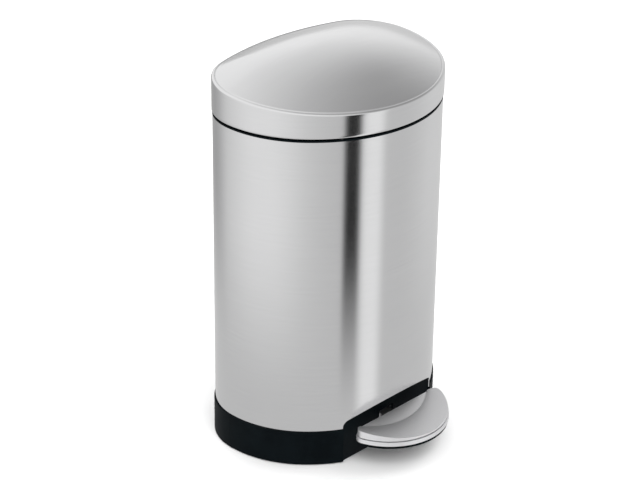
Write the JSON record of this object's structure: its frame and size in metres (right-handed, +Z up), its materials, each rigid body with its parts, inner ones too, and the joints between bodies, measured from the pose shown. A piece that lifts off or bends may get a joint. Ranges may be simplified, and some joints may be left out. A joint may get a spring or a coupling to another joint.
{
  "type": "pedal bin",
  "caption": "D-shaped brushed steel pedal bin with a domed lid, black base and rims, a front foot pedal, inner bucket and lid linkage.",
  "frame": {"origin": "bottom centre of the whole bin's bounding box, on the floor", "axes": "+Z up; +Y towards the flat hinged back; -Y towards the pedal; +X to the right of someone facing the back from the pedal side"},
  "size_m": [0.2426, 0.2385, 0.3973],
  "materials": {
    "brushed_shell": "brushed, clear satin",
    "plate_steel": "satin, zinc plated",
    "black_plastic": "fine grained satin black",
    "bucket_plastic": "smooth moulded dark grey",
    "nylon": "natural bearing plastic",
    "rubber": "matt",
    "damper_black": "gloss black"
  },
  "bodies": {
    "bin": {"base_pan": "black_plastic", "rubber_feet": "rubber", "body_shell": "brushed_shell", "top_rim": "black_plastic", "bucket": "bucket_plastic", "hinge_housing": "black_plastic", "hinge_pin": "plate_steel", "housing_screws": "plate_steel", "rod_guides": "nylon", "damper_cylinder": "damper_black", "damper_clips": "black_plastic", "pedal_axle": "plate_steel", "axle_clips": "plate_steel"},
    "lid": {"lid_shell": "brushed_shell", "lid_liner": "black_plastic", "lid_bumpers": "rubber", "lid_hinge_bracket": "plate_steel", "crank_pin": "plate_steel", "lid_screws": "plate_steel"},
    "pedal": {"pedal_lever": "plate_steel", "pedal_bushes": "nylon", "rear_link_pin": "plate_steel", "pedal_tread": "brushed_shell", "pedal_rim": "brushed_shell", "pedal_underside": "black_plastic", "pedal_rivets": "plate_steel"},
    "rod": {"lift_rod": "plate_steel", "top_yoke": "nylon", "bottom_yoke": "nylon", "damper_piston": "plate_steel", "damper_arm": "nylon"}
  },
  "joints": [
    {"name": "lid_hinge", "type": "hinge", "parent": "bin", "child": "lid", "pos_m": [0, 0.1072, 0.338], "axis": [-1, 0, 0], "range_deg": [0, 80]},
    {"name": "pedal_hinge", "type": "hinge", "parent": "bin", "child": "pedal", "pos_m": [0, -0.0108, 0.026], "axis": [1, 0, 0], "range_deg": [0, 12.3]},
    {"name": "rod_lift", "type": "slide", "parent": "bin", "child": "rod", "axis": [0, 0, 1], "range_m": [0, 0.0221]}
  ],
  "couplings": [
    {"joint": "pedal_hinge", "follows": "lid_hinge", "ratio": 0.15184},
    {"joint": "rod_lift", "follows": "lid_hinge", "m_per_rad": 0.015655}
  ]
}
